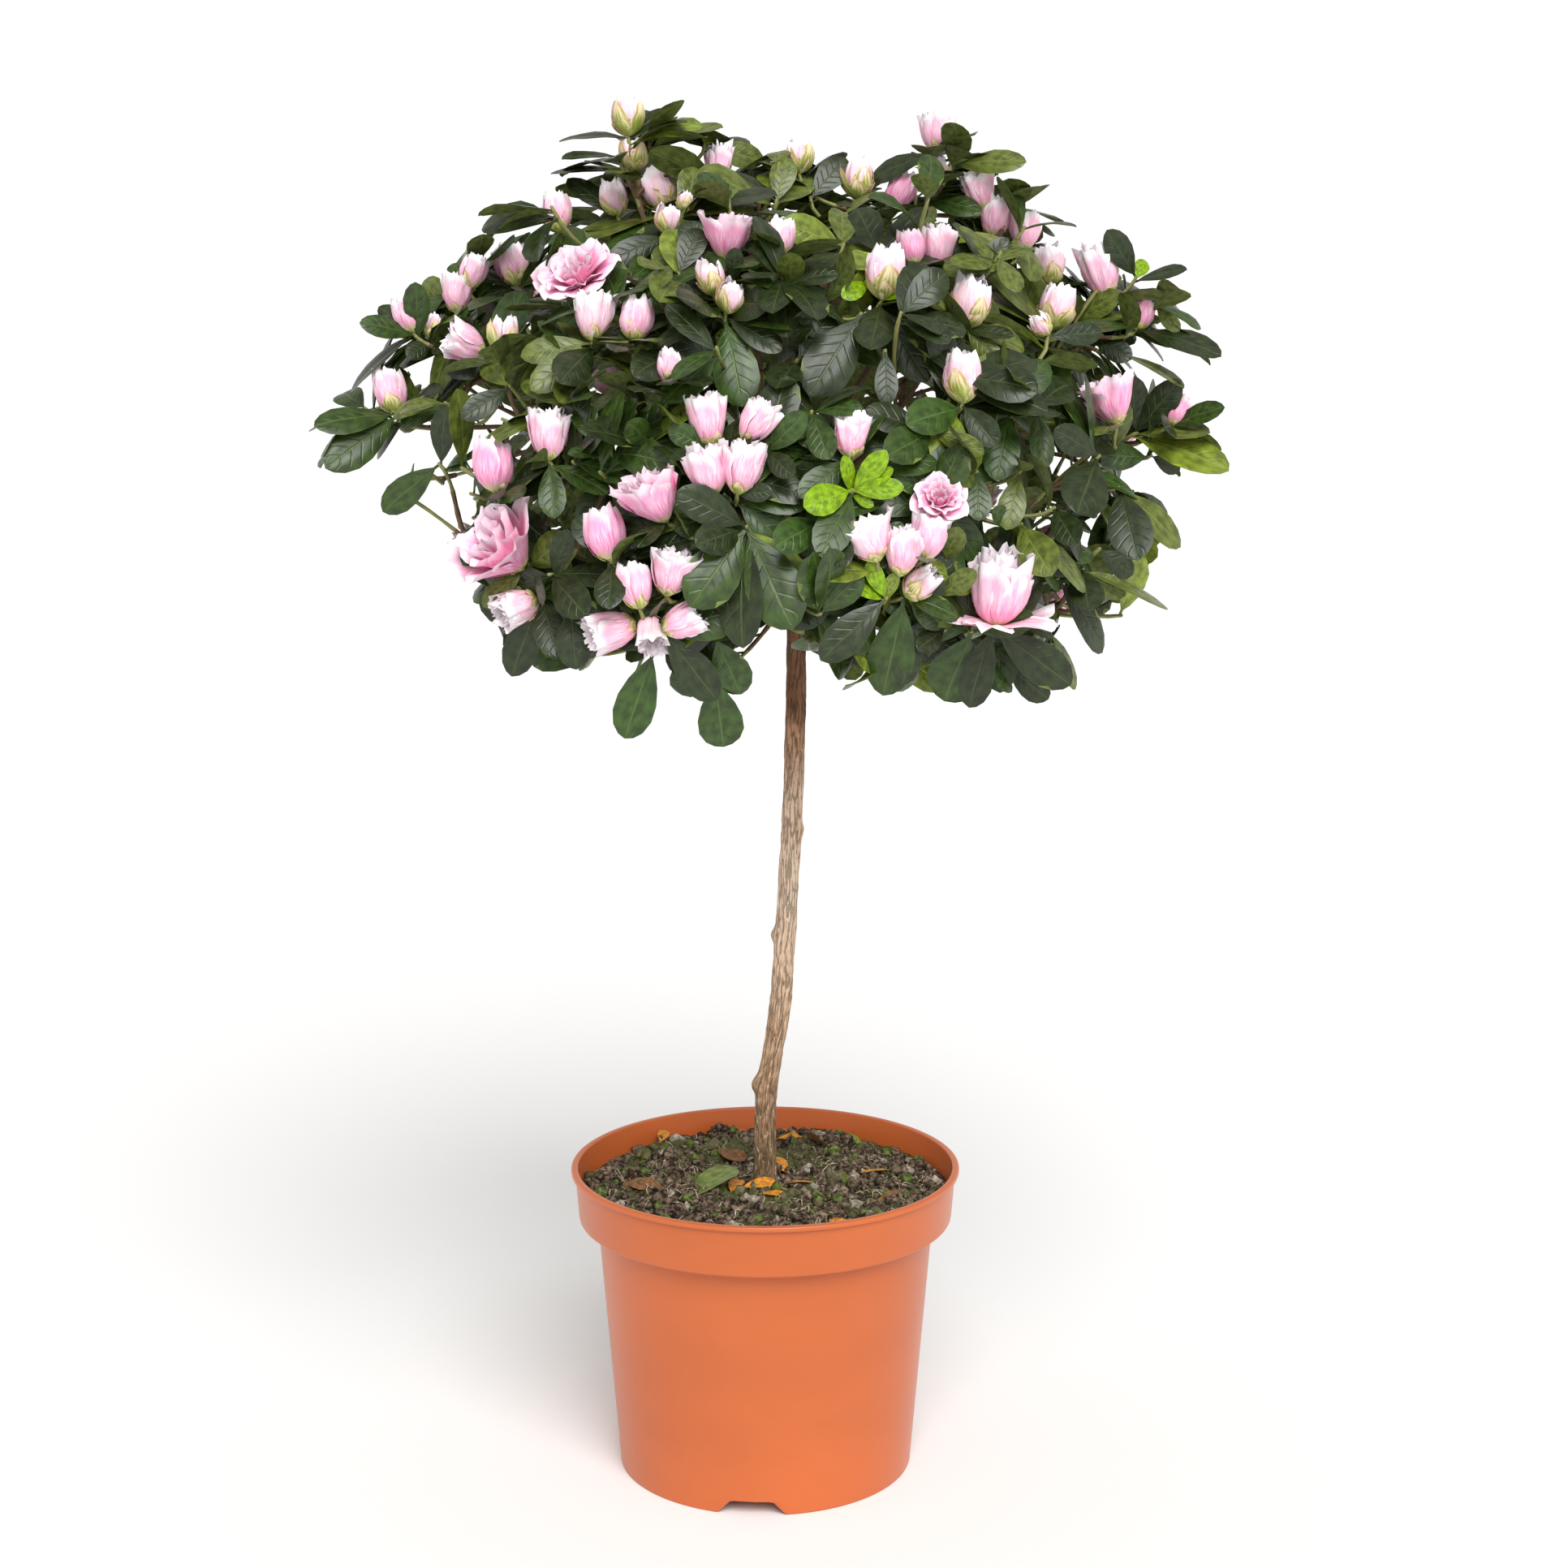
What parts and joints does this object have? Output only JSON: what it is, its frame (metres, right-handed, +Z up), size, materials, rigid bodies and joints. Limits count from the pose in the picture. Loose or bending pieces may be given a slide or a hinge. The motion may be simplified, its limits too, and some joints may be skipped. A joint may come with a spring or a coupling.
{
  "type": "potted azalea standard",
  "caption": "Flowering azalea grown as a small standard: a round crown of dark leaves and pink and white blooms on one bare stem, in a round plastic pot.",
  "frame": {"origin": "centre of the circle that the pot stands on", "axes": "+Z up along the pot's axis, +X to the right and -Y to the front"},
  "size_m": [0.4137, 0.3911, 0.6639],
  "materials": {
    "foliage": "glossy dark green leaves with pink and white petals",
    "bark": "rough, finely fissured pale brown bark, darker under the crown",
    "pot": "smooth terracotta-coloured plastic, slightly glossy",
    "soil": "crumbly grey-brown peat with moss"
  },
  "bodies": {
    "root": {"pot": "pot", "soil": "soil", "trunk": "bark", "bough_top_left": "bark", "foliage_top_left": "foliage", "bough_top_right": "bark", "foliage_top_right": "foliage", "bough_top_front": "bark", "foliage_top_front": "foliage", "bough_top_back": "bark", "foliage_top_back": "foliage", "bough_left": "bark", "foliage_left": "foliage", "bough_front_left": "bark", "foliage_front_left": "foliage", "bough_front_right": "bark", "foliage_front_right": "foliage", "bough_right": "bark", "foliage_right": "foliage", "bough_back_right": "bark", "foliage_back_right": "foliage", "bough_back_left": "bark", "foliage_back_left": "foliage", "bough_low_left": "bark", "foliage_low_left": "foliage", "bough_low_front": "bark", "foliage_low_front": "foliage", "bough_low_right": "bark", "foliage_low_right": "foliage", "bough_low_back_right": "bark", "foliage_low_back_right": "foliage", "bough_low_back": "bark", "foliage_low_back": "foliage", "bough_low_back_left": "bark", "foliage_low_back_left": "foliage"}
  },
  "joints": []
}
